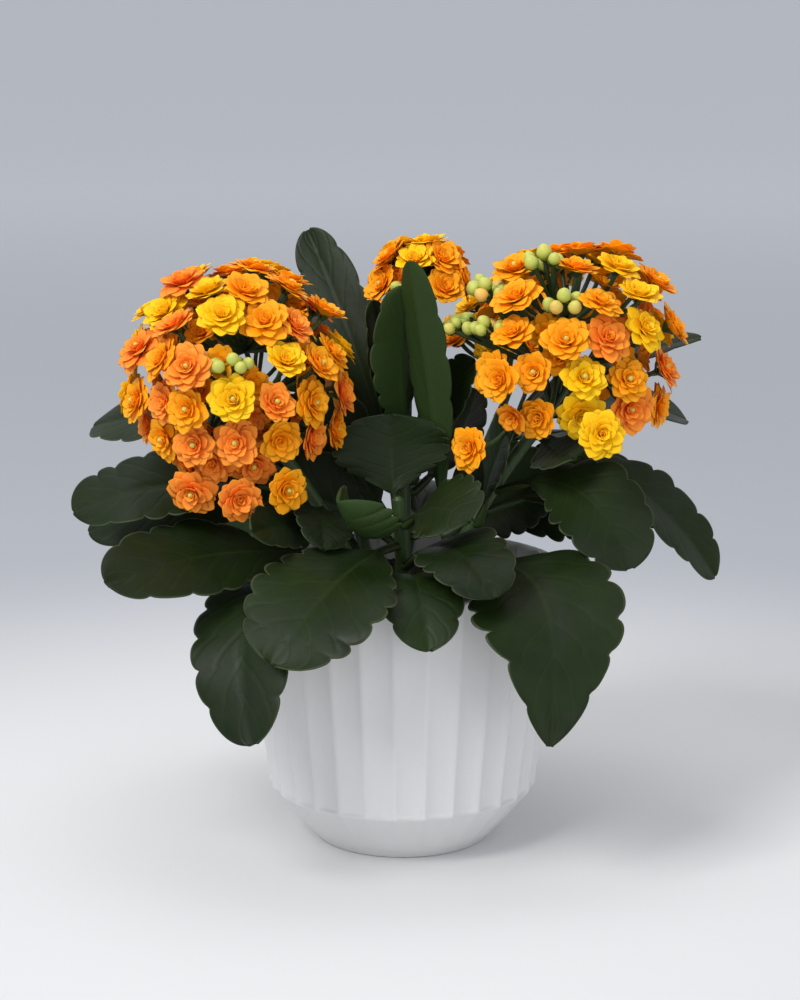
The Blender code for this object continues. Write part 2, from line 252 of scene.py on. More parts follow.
class Paint(Graph):
    """A material's node graph around one Principled shader."""

    def __init__(self, name: str) -> None:
        """Make an empty material of that name."""
        self.material = bpy.data.materials.new(name)
        self.material.use_nodes = True
        super().__init__(self.material.node_tree)
        self.place = self.node("ShaderNodeTexCoord").outputs["Object"]

    def attribute(self, name: str) -> Val:
        """A number stored on the mesh."""
        return self.val("ShaderNodeAttribute", {"attribute_name": name}, output="Fac")

    def noise(self, scale: float, detail: float = 4.0, rough: float = 0.55,
              stretch: Sequence[float] = (1, 1, 1)) -> Val:
        """Noise from 0 to 1 over the object's coordinates; scale is per metre."""
        spot = self.node("ShaderNodeMapping", None, {"Vector": self.place, "Scale": stretch})
        return self.val("ShaderNodeTexNoise", None,
                        {"Vector": spot.outputs[0], "Scale": scale, "Detail": detail,
                         "Roughness": rough})

    def mix(self, mask: Union[Val, float], low: Union[Socket, Sequence[float]],
            high: Union[Socket, Sequence[float]], blend: str = "MIX") -> Socket:
        """Mix two colours by a mask."""
        def colour(value: Union[Socket, Sequence[float]]) -> Union[Socket, Sequence[float]]:
            """Give a plain colour its alpha."""
            return value if isinstance(value, bpy.types.NodeSocket) else (*value, 1.0)
        made = self.node("ShaderNodeMix", {"data_type": "RGBA", "blend_type": blend},
                         {0: mask, 6: colour(low), 7: colour(high)})
        return made.outputs[2]

    def bump(self, height: Val, distance: float, strength: float = 1.0,
             over: Optional[Socket] = None) -> Socket:
        """Bump of a height from 0 to 1; distance is in metres."""
        values = {"Height": height, "Distance": distance, "Strength": strength}
        if over is not None:
            values["Normal"] = over
        return self.node("ShaderNodeBump", None, values).outputs[0]

    def finish(self, **values: Union[Val, Socket, float, tuple]) -> bpy.types.Material:
        """Add the Principled shader; underscores in names stand for spaces."""
        sockets = {key.replace("_", " "): value for key, value in values.items()}
        shader = self.node("ShaderNodeBsdfPrincipled", None, sockets)
        self.node("ShaderNodeOutputMaterial", None, {"Surface": shader.outputs[0]})
        return self.material


# ------------------------------------------------------------------ finishes
@dataclass(frozen=True)
class MattGlaze:
    """White, matt, faintly uneven pot glaze."""

    white: tuple = (0.70, 0.70, 0.70)
    shade: tuple = (0.655, 0.655, 0.66)
    roughness: float = 0.42

    def material(self) -> bpy.types.Material:
        """Build the material."""
        p = Paint("matt_glaze")
        cloud = p.noise(14)
        grain = p.noise(900, 3)
        colour = p.mix((cloud - 0.3) * 0.8, self.white, self.shade)
        normal = p.bump(grain * 0.7 + cloud * 0.3, 0.00012, 0.5)
        return p.finish(Base_Color=colour, Roughness=cloud * 0.14 + (self.roughness - 0.07),
                        Normal=normal, Specular_IOR_Level=0.4)


@dataclass(frozen=True)
class LeafSkin:
    """Waxy dark leaf: paler veins, thin pale margin, light green underside, and grey patches that
    are partly its waxy coat and partly painted sheen.
    """

    deep: tuple = (0.0050, 0.0110, 0.0022)
    fresh: tuple = (0.0150, 0.0300, 0.0048)
    # bloom: grey of the random patches, partly the leaf's waxy coat and partly painted sheen
    bloom: tuple = (0.0200, 0.0260, 0.0160)
    vein: tuple = (0.0300, 0.0540, 0.0130)
    margin: tuple = (0.0650, 0.0780, 0.0380)
    under: tuple = (0.0260, 0.0520, 0.0120)
    light: tuple = (0.0330, 0.0620, 0.0120)
    vein_pairs: float = 8.5
    vein_slant: float = 1.9
    roughness: float = 0.26

    def material(self) -> bpy.types.Material:
        """Build the material."""
        p = Paint("leaf_skin")
        along, across = p.attribute("along"), p.attribute("across").abs()
        under, young = p.attribute("underside"), p.attribute("young")
        cloud, fine = p.noise(28, 5), p.noise(420, 4)
        base = p.mix((cloud - 0.3) * 1.6 + young * 0.5, self.deep, self.fresh)
        base = p.mix(young.ramp(0.6, 1.0) * 0.8, base, self.light)
        # random grey patches: partly the leaf's waxy coat, partly painted sheen
        wax_and_sheen = (p.noise(38, 5, 0.6) - 0.42).ramp(0.0, 0.22) * 0.42
        base = p.mix(wax_and_sheen, base, self.bloom)
        rib = across.ramp(0.06, 0.01) * along.ramp(0.95, 0.2) * 0.5
        comb = ((along * self.vein_pairs - across * self.vein_slant).fract() - 0.5).abs()
        side_vein = comb.ramp(0.055, 0.0) * across.ramp(0.98, 0.6) * 0.16
        base = p.mix((rib + side_vein).clamp(), base, self.vein)
        base = p.mix(across.ramp(0.955, 0.99) * 0.65, base, self.margin)
        colour = p.mix(under * 0.85, base, self.under)
        height = fine * 0.35 + comb.ramp(0.0, 0.2) * 0.4 + cloud * 0.25
        normal = p.bump(height, 0.00035, 0.55)
        gloss = cloud * 0.25 + fine * 0.08 + under * 0.12 + self.roughness
        return p.finish(Base_Color=colour, Roughness=gloss, Normal=normal,
                        Specular_IOR_Level=0.15)


@dataclass(frozen=True)
class PetalSkin:
    """Petals from yellow through orange to peach, deeper in the heart."""

    yellow: tuple = (1.0, 0.57, 0.002)
    orange: tuple = (1.0, 0.34, 0.002)
    peach: tuple = (1.0, 0.235, 0.028)
    heart: tuple = (1.0, 0.45, 0.008)
    edge: tuple = (1.0, 0.60, 0.06)
    throat: tuple = (0.80, 0.20, 0.003)
    vein: tuple = (1.0, 0.42, 0.008)

    def material(self) -> bpy.types.Material:
        """Build the material."""
        p = Paint("petal_skin")
        tint, along = p.attribute("tint"), p.attribute("along")
        layer = p.attribute("layer")
        base = p.mix(tint.ramp(0.05, 0.5), self.yellow, self.orange)
        base = p.mix(tint.ramp(0.55, 1.0), base, self.peach)
        base = p.mix(layer.ramp(0.6, 1.0) * 0.4, base, self.heart)
        veins = p.noise(700, 4, 0.6)
        base = p.mix(along.ramp(0.55, 1.0) * 0.22, base, self.edge)
        base = p.mix(along.ramp(0.4, 0.0) * 0.5, base, self.throat)
        colour = p.mix((veins - 0.35) * 0.35, base, self.vein)
        normal = p.bump(veins, 0.0002, 0.35)
        return p.finish(Base_Color=colour, Roughness=veins * 0.2 + 0.45, Normal=normal,
                        Specular_IOR_Level=0.12, Subsurface_Weight=0.12,
                        Subsurface_Scale=0.002)


@dataclass(frozen=True)
class BudSkin:
    """Closed buds, pale yellow-green with a paler tip."""

    green: tuple = (0.30, 0.40, 0.04)
    pale: tuple = (0.55, 0.58, 0.11)
    ochre: tuple = (0.85, 0.50, 0.10)
    speck: tuple = (0.50, 0.50, 0.14)

    def material(self) -> bpy.types.Material:
        """Build the material."""
        p = Paint("bud_skin")
        along, tint = p.attribute("along"), p.attribute("tint")
        spots = p.noise(500, 3)
        colour = p.mix(along.ramp(0.15, 0.8), self.green, self.pale)
        colour = p.mix(tint.ramp(0.6, 0.9), colour, self.ochre)
        colour = p.mix((spots - 0.4) * 0.5, colour, self.speck)
        return p.finish(Base_Color=colour, Roughness=spots * 0.2 + 0.35,
                        Normal=p.bump(spots, 0.0002, 0.4), Specular_IOR_Level=0.4,
                        Subsurface_Weight=0.1, Subsurface_Scale=0.002)


@dataclass(frozen=True)
class StalkSkin:
    """Smooth green stalks and calyces."""

    dark: tuple = (0.020, 0.045, 0.010)
    light: tuple = (0.060, 0.115, 0.024)

    def material(self) -> bpy.types.Material:
        """Build the material."""
        p = Paint("stalk_skin")
        cloud, streak = p.noise(60), p.noise(600, 3, 0.6, (1, 1, 0.15))
        colour = p.mix((cloud + streak - 0.7).clamp(), self.dark, self.light)
        return p.finish(Base_Color=colour, Roughness=streak * 0.2 + 0.4,
                        Normal=p.bump(streak, 0.0002, 0.5))


@dataclass(frozen=True)
class PeatMix:
    """Dark, damp, crumbly potting soil."""

    dark: tuple = (0.010, 0.006, 0.004)
    light: tuple = (0.060, 0.038, 0.022)

    def material(self) -> bpy.types.Material:
        """Build the material."""
        p = Paint("peat_mix")
        clods, grain = p.noise(160, 6, 0.7), p.noise(1400, 4)
        colour = p.mix((clods * 0.6 + grain * 0.6 - 0.25).clamp(), self.dark, self.light)
        return p.finish(Base_Color=colour, Roughness=grain * 0.15 + 0.8,
                        Normal=p.bump(clods * 0.6 + grain * 0.4, 0.0015, 0.8))


# ------------------------------------------------------------------ shared shapes
def unit(v: Array) -> Array:
    """A vector scaled to length one."""
    return v / np.linalg.norm(v)


def smooth(x: float, low: float, high: float) -> float:
    """Smooth step from 0 at low to 1 at high."""
    u = min(max((x - low) / (high - low), 0.0), 1.0)
    return u * u * (3 - 2 * u)


def heading(azimuth: float, pitch: float) -> Array:
    """Unit direction from an azimuth and a pitch above the horizon, in degrees."""
    a, e = math.radians(azimuth), math.radians(pitch)
    return np.array([math.cos(a) * math.cos(e), math.sin(a) * math.cos(e), math.sin(e)])


def arc(start: Array, bend: Array, end: Array, steps: int) -> list[Array]:
    """Points along a curve that leaves start towards bend and arrives at end."""
    ts = (i / steps for i in range(steps + 1))
    return [(1 - t) ** 2 * start + 2 * t * (1 - t) * bend + t * t * end for t in ts]


def make_object(name: str, points: Iterable[Array], faces: Sequence = (),
                edges: Sequence = ()) -> bpy.types.Object:
    """An object at the origin from points in millimetres."""
    mesh = bpy.data.meshes.new(name)
    mesh.from_pydata([tuple(np.asarray(p, float) * MM) for p in points], edges, faces)
    mesh.update()
    thing = bpy.data.objects.new(name, mesh)
    bpy.context.scene.collection.objects.link(thing)
    return thing


def put_numbers(mesh: bpy.types.Mesh, name: str, values: Sequence) -> None:
    """Store a number or a vector on every point of a mesh."""
    flat = np.asarray(values, np.float32)
    kind, key = ("FLOAT", "value") if flat.ndim == 1 else ("FLOAT_VECTOR", "vector")
    mesh.attributes.new(name, kind, "POINT").data.foreach_set(key, flat.ravel())


def outward(mesh: bpy.types.Mesh) -> None:
    """Weld a mesh and turn its faces outward."""
    bm = bmesh.new()
    bm.from_mesh(mesh)
    bmesh.ops.remove_doubles(bm, verts=bm.verts, dist=0.000001)
    bmesh.ops.recalc_face_normals(bm, faces=bm.faces)
    bm.to_mesh(mesh)
    bm.free()


def dress(thing: bpy.types.Object, material: bpy.types.Material, slot: Slot,
          *nodes: str) -> bpy.types.Object:
    """Finish a piece: smooth faces, material, body and replaced nodes."""
    thing.data.materials.clear()
    thing.data.materials.append(material)
    for face in thing.data.polygons:
        face.use_smooth = True
    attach(thing, "root")
    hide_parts(*nodes)
    log.info("%s: %d faces", thing.name, len(thing.data.polygons))
    return thing


def grow(thing: bpy.types.Object, tree: bpy.types.NodeTree,
         sizes: Optional[dict[str, float]] = None) -> bpy.types.Object:
    """Run a Geometry Nodes tree on an object and keep the result as a plain mesh.

    Args:
        thing: object that holds the points or edges to build on.
        tree: the tree.
        sizes: named inputs of the tree and their values.

    Returns:
        A new object with the same name and no modifier.
    """
    grower = thing.modifiers.new("grow", "NODES")
    grower.node_group = tree
    sockets = {s.name: s.identifier for s in tree.interface.items_tree
               if s.item_type == "SOCKET" and s.in_out == "INPUT"}
    for name, value in (sizes or {}).items():
        grower[sockets[name]] = value
    bpy.context.view_layer.update()
    graph = bpy.context.evaluated_depsgraph_get()
    mesh = bpy.data.meshes.new_from_object(thing.evaluated_get(graph))
    name = thing.name
    bpy.data.objects.remove(thing, do_unlink=True)
    mesh.name = name
    grown = bpy.data.objects.new(name, mesh)
    bpy.context.scene.collection.objects.link(grown)
    return grown


def named(graph: Graph, name: str, kind: str = "FLOAT") -> Val:
    """Read a stored number or vector in a geometry tree."""
    return graph.val("GeometryNodeInputNamedAttribute", {"data_type": kind}, {"Name": name})


def store(graph: Graph, geometry: Socket, **values: Val) -> Socket:
    """Store numbers or vectors on the points of a geometry."""
    for name, value in values.items():
        kind = "FLOAT_VECTOR" if value.socket.type in ("VECTOR", "ROTATION") else "FLOAT"
        node = graph.node("GeometryNodeStoreNamedAttribute",
                          {"data_type": kind, "domain": "POINT"},
                          {"Geometry": geometry, "Name": name, "Value": value})
        geometry = node.outputs["Geometry"]
    return geometry


class Grower(Graph):
    """A Geometry Nodes tree with named inputs, ending in realized, painted geometry."""

    def __init__(self, name: str, sizes: dict[str, float]) -> None:
        """Start a tree with a geometry input and number inputs of those default sizes."""
        tree = bpy.data.node_groups.new(name, "GeometryNodeTree")
        super().__init__(tree)
        face = tree.interface
        face.new_socket("Geometry", in_out="INPUT", socket_type="NodeSocketGeometry")
        for key, value in sizes.items():
            kind = "NodeSocketInt" if isinstance(value, int) else "NodeSocketFloat"
            face.new_socket(key, in_out="INPUT", socket_type=kind).default_value = value
        face.new_socket("Geometry", in_out="OUTPUT", socket_type="NodeSocketGeometry")
        self.given = self.node("NodeGroupInput")

    def size(self, name: str) -> Val:
        """One of the tree's number inputs."""
        return Val(self, self.given.outputs[name])

    def random(self, low: float, high: float, seed: int) -> Val:
        """A random number for each point, from a fixed seed."""
        node = self.node("FunctionNodeRandomValue", {"data_type": "FLOAT"},
                         {2: low, 3: high, 8: seed})
        return Val(self, node.outputs[1])

    def position(self) -> Val:
        """The points' places."""
        return self.val("GeometryNodeInputPosition")

    def moved(self, geometry: Socket, place: Val) -> Socket:
        """Move every point of a geometry to a place."""
        node = self.node("GeometryNodeSetPosition", None,
                         {"Geometry": geometry, "Position": place})
        return node.outputs[0]

    def close(self, geometry: Socket, material: bpy.types.Material) -> bpy.types.NodeTree:
        """Realize, paint and output a geometry; give back the tree."""
        real = self.node("GeometryNodeRealizeInstances", None, {"Geometry": geometry})
        paint = self.node("GeometryNodeSetMaterial", None,
                          {"Geometry": real.outputs[0], "Material": material})
        self.node("NodeGroupOutput", None, {"Geometry": paint.outputs[0]})
        return self.tree

    def spread(self, points: Socket, shape: Socket) -> Socket:
        """Put a unit shape on every point and realize it, keeping its own points as form."""
        shape = store(self, shape, form=self.position())
        placed = self.node("GeometryNodeInstanceOnPoints", None,
                           {"Points": points, "Instance": shape})
        return self.node("GeometryNodeRealizeInstances", None,
                         {"Geometry": placed.outputs[0]}).outputs[0]

    def ball(self, segments: int, rings: int) -> Socket:
        """Closed unit ball."""
        return self.node("GeometryNodeMeshUVSphere", None,
                         {"Segments": segments, "Rings": rings}).outputs[0]

    def frame_of(self, axis: Val) -> tuple[Val, Val]:
        """Two directions at right angles to an axis."""
        first = axis.cross((0.31, 0.95, 0.05)).unit()
        return first, axis.cross(first)


# ------------------------------------------------------------------ pot and soil
def lathe(name: str, profile: Sequence[tuple], steps: int) -> bpy.types.Object:
    """Turn a closed half section round Z.

    Args:
        name: the object's name.
        profile: (radius, height) from the axis round to the axis again.
        steps: columns around.

    Returns:
        The closed, outward-facing object.
    """
    points, faces = [], []
    for k in range(steps):
        a = 2 * math.pi * k / steps
        points += [(r * math.cos(a), r * math.sin(a), z) for r, z in profile]
    rows = len(profile)
    for k in range(steps):
        here, there = k * rows, (k + 1) % steps * rows
        faces += [(here + i, there + i, there + i + 1, here + i + 1) for i in range(rows - 1)]
    thing = make_object(name, points, faces)
    outward(thing.data)
    return thing


@dataclass
class FlutedPot:
    """Round pot with shallow flutes on its wall and a narrow foot."""

    foot_radius: float = 38.0
    waist: tuple = (45.0, 8.5)
    edge: tuple = (58.0, 24.0)
    rim_height: float = 118.0
    slope: float = 0.125
    wall: float = 4.2
    floor: float = 6.0
    flutes: int = 30
    depth: float = 2.1
    phase: float = 3.0
    round_steps: int = 14

    def outer(self, z: float) -> float:
        """Radius of the wall's arrises at a height."""
        return self.edge[0] + (z - self.edge[1]) * self.slope

    def profile(self) -> list[tuple]:
        """Half section from the middle of the foot over the rim to the floor."""
        top, foot = self.rim_height, self.foot_radius
        out = [(0, 0), (foot - 1.2, 0), (foot - 0.3, 0.4), (foot, 1.2)]
        out += [(foot + (self.waist[0] - foot) * t, 1.2 + (self.waist[1] - 1.2) * t ** 1.15)
                for t in (0.25, 0.5, 0.75, 1.0)]
        out += [(self.waist[0] + (self.edge[0] - self.waist[0]) * i / 8,
                 self.waist[1] + (self.edge[1] - self.waist[1]) * i / 8) for i in range(1, 8)]
        out += [(self.edge[0] - 0.1, self.edge[1] - 0.3), (self.edge[0], self.edge[1] + 0.3)]
        low, high = self.edge[1] + 1.5, top - 2.2
        out += [(self.outer(z), z) for z in (low + (high - low) * i / 24 for i in range(25))]
        rim = self.outer(top)
        inner = rim - self.wall
        out += [(rim - 0.15, top - 1.1), (rim - 0.7, top - 0.3), (rim - 1.6, top),
                (inner + 1.2, top), (inner + 0.3, top - 0.5), (inner, top - 1.5),
                (54.8, 28), (48, 14), (36, self.floor), (0, self.floor)]
        return out

    def tree(self, material: bpy.types.Material) -> bpy.types.NodeTree:
        """Press the flutes into the outside of the turned wall."""
        g = Grower("flutes", {"Flutes": float(self.flutes), "Depth": self.depth * MM,
                              "Phase": math.radians(self.phase)})
        place = g.position()
        x, y, z = place.split()
        radius = (x * x + y * y).root()
        share = ((y.turn(x) - g.size("Phase")) * g.size("Flutes") / (2 * math.pi)).fract()
        hollow = (4 * share * (1 - share)).at_least(0.0) ** 0.75
        edge = self.edge[1] * MM
        inner = (self.edge[0] - self.wall - 0.5) * MM
        wall = z.ramp(edge - 0.0004, edge + 0.0002)
        foot = z.ramp(0.001, edge) * 0.45
        height = (wall + foot * (1 - wall)) * z.ramp(0.1179, 0.1165)
        outside = (radius - (z - edge) * self.slope).ramp(inner, inner + 0.001)
        low = z.ramp(edge + 0.001, edge) * radius.ramp(0.0365, 0.0375)
        press = hollow * height * g.size("Depth") * (outside + low).clamp()
        shape = place - (x / radius.at_least(0.001) * press).vector(
            y / radius.at_least(0.001) * press, 0.0)
        return g.close(g.moved(g.given.outputs[0], shape), material)

    def build(self) -> bpy.types.Object:
        """Turn, flute and dress the pot."""
        blank = lathe("fluted_pot", self.profile(), self.flutes * self.round_steps)
        material = MattGlaze().material()
        piece = grow(blank, self.tree(material), {"Depth": self.depth * MM})
        return dress(piece, material, Slot.POT, "pot")


@dataclass
class PottingSoil:
    """Crumbly soil a little below the rim."""

    top: float = 107.0
    bottom: float = 92.0
    top_radius: float = 63.6
    bottom_radius: float = 62.0
    rings: int = 40
    columns: int = 120
    crumb: float = 1.1

    def surface(self) -> bpy.types.Object:
        """Uneven closed disc of soil."""
        rng = random.Random(SEED)
        waves = [(rng.uniform(0.05, 0.35), rng.uniform(0, 6.3), rng.uniform(0, 6.3),
                  rng.uniform(0.15, 0.4)) for _ in range(14)]

        def height(x: float, y: float) -> float:
            """Bumps on the top, none of them above it by more than a millimetre."""
            return sum(size * math.sin(f * (x * math.cos(a) + y * math.sin(a)) + b)
                       for f, a, b, size in waves) * 0.6 - 0.4
        profile = [(self.top_radius * i / self.rings, self.top)
                   for i in range(self.rings + 1)]
        profile += [(self.bottom_radius, self.bottom), (0, self.bottom)]
        thing = lathe("potting_soil", profile, self.columns)
        for vert in thing.data.vertices:
            x, y, z = (c / MM for c in vert.co)
            if z > self.top - 1:
                vert.co.z += height(x, y) * MM
        return thing

    def tree(self, material: bpy.types.Material) -> bpy.types.NodeTree:
        """Scatter crumbs over the top of the soil."""
        g = Grower("soil_crumbs", {"Crumb": self.crumb * MM, "Density": 90000.0})
        ground = g.given.outputs[0]
        up = g.val("GeometryNodeInputNormal").split()[2]
        scatter = g.node("GeometryNodeDistributePointsOnFaces", None,
                         {"Mesh": ground, "Density": g.size("Density"), "Seed": SEED,
                          "Selection": up.ramp(0.5, 0.6)})
        grain = g.node("GeometryNodeMeshIcoSphere", None, {"Radius": 1.0, "Subdivisions": 1})
        size = g.size("Crumb") * g.random(0.25, 1.0, SEED)
        placed = g.node("GeometryNodeInstanceOnPoints", None,
                        {"Points": scatter.outputs[0], "Instance": grain.outputs[0],
                         "Scale": size.vector(size * 0.8, size * 0.7),
                         "Rotation": g.random(0.0, 6.28, SEED + 1).vector(
                             g.random(0.0, 6.28, SEED + 2), 0.0)})
        both = g.node("GeometryNodeJoinGeometry")
        g.tree.links.new(ground, both.inputs[0])
        g.tree.links.new(placed.outputs[0], both.inputs[0])
        return g.close(both.outputs[0], material)

    def build(self) -> bpy.types.Object:
        """Make and dress the soil."""
        material = PeatMix().material()
        piece = grow(self.surface(), self.tree(material), {"Crumb": self.crumb * MM})
        return dress(piece, material, Slot.SOIL, "soil")


# ------------------------------------------------------------------ stems and stalks
@dataclass
class Stem:
    """Main stem from the soil to a flower head."""

    foot: tuple
    bend: tuple
    top: tuple
    radius: float

    def point(self, t: float) -> Array:
        """Place at a share of the way up."""
        foot, bend, top = (np.array(p, float) for p in (self.foot, self.bend, self.top))
        return (1 - t) ** 2 * foot + 2 * t * (1 - t) * bend + t * t * top


STEMS = {
    "stem_left": Stem((-13, 0, 101), (-30, -3, 140), (-52, -8, 170), 3.0),
    "stem_right": Stem((14, 1, 101), (30, 0, 145), (60, -3, 182), 3.0),
    "stem_centre": Stem((1, 9, 101), (0, 14, 150), (2, 18, 208), 3.0),
    "stem_back_left": Stem((-12, 18, 101), (-20, 38, 135), (-32, 64, 172), 2.8),
    "stem_back_right": Stem((13, 19, 101), (28, 42, 140), (44, 66, 172), 2.8),
    "stem_front": Stem((0, -15, 101), (0, -22, 125), (-2, -25, 152), 2.8),
}


@dataclass
class Stalks:
    """Round green rods that follow lines, as one piece."""

    name: str
    sides: int = 8
    lines: list = field(default_factory=list)

    def add(self, line: Sequence[Array], start: float, end: float) -> None:
        """Add a rod along a line, with its radius at each end."""
        self.lines.append((line, start, end))

    def tree(self, material: bpy.types.Material) -> bpy.types.NodeTree:
        """Round rods along the lines, as thick as their stored girth."""
        g = Grower(self.name, {"Girth": 1.0})
        curve = g.node("GeometryNodeMeshToCurve", None, {"Mesh": g.given.outputs[0]})
        ring = g.node("GeometryNodeCurvePrimitiveCircle", None,
                      {"Resolution": self.sides, "Radius": MM})
        rod = g.node("GeometryNodeCurveToMesh", None,
                     {"Curve": curve.outputs[0], "Profile Curve": ring.outputs[0],
                      "Scale": named(g, "girth") * g.size("Girth"), "Fill Caps": True})
        return g.close(rod.outputs[0], material)

    def build(self, *nodes: str) -> bpy.types.Object:
        """Make and dress the rods."""
        points, edges, girth = [], [], []
        for line, start, end in self.lines:
            base, last = len(points), len(line) - 1
            points += list(line)
            edges += [(base + i, base + i + 1) for i in range(last)]
            girth += [start + (end - start) * i / last for i in range(last + 1)]
        thing = make_object(self.name, points, (), edges)
        put_numbers(thing.data, "girth", girth)
        material = StalkSkin().material()
        piece = grow(thing, self.tree(material), {"Girth": 1.0})
        outward(piece.data)
        return dress(piece, material, Slot.STEM, *nodes)


@dataclass
class MainStems:
    """The six stems, each closed by a blunt tip."""

    steps: int = 40
    sides: int = 14

    def build(self) -> None:
        """Make a piece for each stem."""
        for name, stem in STEMS.items():
            rods = Stalks(name.replace("stem", "main_stem"), self.sides)
            line = [stem.point(i / self.steps) for i in range(self.steps + 1)]
            rods.add(line, stem.radius * 1.02, stem.radius * 0.9)
            tip, lead = line[-1], unit(line[-1] - line[-2])
            rods.add([tip - lead * 0.6, tip + lead * 0.5, tip + lead * 1.2],
                     stem.radius * 0.88, stem.radius * 0.4)
            rods.build(name)


# ------------------------------------------------------------------ leaves
@dataclass
class Leaf:
    """Crenate leaf that grows from a stem.

    rise bows it off its chord and sway bows it sideways; roll lifts its left side;
    a belly over 1 puts its widest place nearer the tip.
    """

    stem: str
    place: float
    tip: tuple
    rise: float
    sway: float
    width: float
    roll: float
    fold: float
    belly: float
    petiole: float = 0.18
    half_stalk: float = 2.1
    blade: float = 1.7
    gap: float = 0.4
    rows: int = 110
    columns: int = 22
    notch: float = 0.16

    @property
    def cupped(self) -> bool:
        """Whether this is a young leaf whose sides turn up into a cup."""
        return self.fold > CUP_FOLD

    def spine(self, ts: Array) -> tuple[Array, Array, Array]:
        """Points, side and up directions along the middle of the leaf."""
        stem = STEMS[self.stem]
        tip, root = np.array(self.tip, float), stem.point(self.place)
        level = tip - root
        level[2] = 0.0
        root = root + unit(level) * (stem.radius + 2 * self.gap + self.blade / 2)
        chord = unit(tip - root)
        left = unit(np.cross([0.0, 0.0, 1.0], chord))
        bow = (root + tip) / 2 + np.cross(chord, left) * self.rise * 2 + left * self.sway * 2
        spots, sides, ups = [], [], []
        for t in ts:
            u = max(t, 0.0)
            spot = (1 - u) ** 2 * root + 2 * u * (1 - u) * bow + u * u * tip
            along = unit((1 - u) * (bow - root) + u * (tip - bow))
            if t < 0:
                spot = spot - unit(level) * -t * 100
            side = unit(left - along * np.dot(left, along))
            up = np.cross(along, side)
            r = math.radians(self.roll) * smooth(u, 0, self.petiole)
            spots.append(spot)
            sides.append(side * math.cos(r) + up * math.sin(r))
            ups.append(up * math.cos(r) - side * math.sin(r))
        return np.array(spots), np.array(sides), np.array(ups)

    def half_width(self, t: float) -> float:
        """Half the leaf's width at a share of its length."""
        u = max((t - self.petiole) / (1 - self.petiole), 0.0)
        q = abs(2 * u ** self.belly - 1)
        full = 2.3
        if self.belly <= POINTED_BELLY and u >= 0.4:
            full -= 0.85 * smooth(u, 0.4, 0.8)
        body = max(1 - q ** full, 0.0) ** (1 / full) * self.width / 2
        return max(body * (0.45 + 0.55 * smooth(u, 0, 0.5)), self.half_stalk * 0.8)

    def scallops(self, rng: random.Random) -> Callable[[float], float]:
        """Rounded lobes between sharp notches along one side, of uneven size."""
        count = round(4.6 + self.width / 24)
        marks = [0.06 + (k + rng.uniform(-0.22, 0.22) * (0 < k < count)) / count * 0.94
                 for k in range(count + 1)]
        depths = [rng.uniform(0.7, 1.25) for _ in range(count)]

        def reach(t: float) -> float:
            """Share of the full half width."""
            u = (t - self.petiole) / (1 - self.petiole)
            for k in range(count):
                if marks[k] <= u <= marks[k + 1]:
                    s = (u - marks[k]) / (marks[k + 1] - marks[k])
                    crown = max(1 - abs(2 * s ** 1.15 - 1) ** 2.4, 0.0) ** 0.55
                    return 1 - self.notch * depths[k] * (1 - crown)
            return 1.0
        return reach

    def stations(self) -> Array:
        """Shares of the length at which the blade is laid, closer near the tip."""
        low = [-0.045, -0.03, -0.015]
        body = [1 - (1 - i / self.rows) ** 1.35 for i in range(self.rows + 1)]
        return np.array(low + [min(t, 0.9985) for t in body])

    def middle(self, ts: Array, across: Array, rng: random.Random) -> tuple[Array, Array]:
        """Middle of the blade's thickness, with its folds, ripples and lobes.

        Args:
            ts: shares of the length at which the blade is laid.
            across: places over the width, from -1 to 1.
            rng: where the small irregularities come from.

        Returns:
            Points by row and column, and the way out of the upper side at each.
        """
        spots, sides, ups = self.spine(ts)
        edges = (self.scallops(rng), self.scallops(rng))
        wave = [rng.uniform(0, 6.3) for _ in range(4)]
        fold = math.radians(self.fold)
        mid = np.zeros((len(ts), len(across), 3))
        for i, t in enumerate(ts):
            blade = smooth(t, self.petiole * 0.7, self.petiole + 0.12)
            half = self.half_width(t)
            for j, a in enumerate(across):
                reach = half * (edges[0](t) if a > 0 else edges[1](t))
                lift = (math.sqrt(a * a + 0.012) - 0.11) * math.sin(fold) * reach
                if self.cupped:
                    lift = a * a * math.sin(fold) * reach * (1.1 + 0.9 * t)
                ripple = abs(a) ** 3 * math.sin(t * 19 + wave[0] + (a > 0) * wave[1])
                swell = math.sin(t * 8 + wave[2]) * math.sin(a * 2.2 + wave[3])
                lift += blade * self.width / 45 * (0.75 * ripple + 0.45 * swell)
                lift -= blade * 0.45 * math.exp(-(a * reach / 1.5) ** 2)
                mid[i, j] = spots[i] + sides[i] * a * math.cos(fold) * reach + ups[i] * lift
        d_row, d_column = np.gradient(mid, axis=0), np.gradient(mid, axis=1)
        normal = np.cross(d_row, d_column)
        normal /= np.maximum(np.linalg.norm(normal, axis=2, keepdims=True), 1e-9)
        flip = np.sign(np.sum(normal * ups[:, None, :], axis=2, keepdims=True))
        return mid, normal * np.where(flip == 0, 1, flip)

